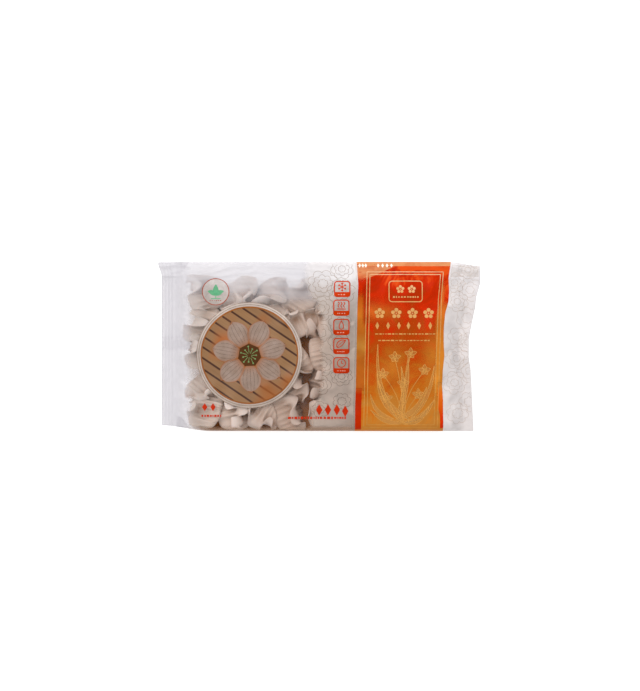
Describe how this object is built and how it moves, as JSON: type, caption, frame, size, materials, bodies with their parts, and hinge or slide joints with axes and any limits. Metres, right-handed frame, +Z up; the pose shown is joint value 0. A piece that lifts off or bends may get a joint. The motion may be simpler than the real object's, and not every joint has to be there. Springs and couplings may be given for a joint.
{
  "type": "pack of frozen shrimp dumplings",
  "caption": "Sealed clear film pack of frozen har gow, lying on its back, with a printed band, tucked sides and flat sealed ends.",
  "frame": {"origin": "under the middle of the pack, on the surface that it lies on", "axes": "+X along the pack, in the print's reading direction; +Y across it, towards the print's top; +Z up, out of the printed side"},
  "size_m": [0.3498, 0.183, 0.0287],
  "materials": {
    "film": "clear glossy film, printed",
    "dumpling": "frosted pale dough"
  },
  "bodies": {
    "root": {"sealed_pack": "film"}
  },
  "joints": []
}
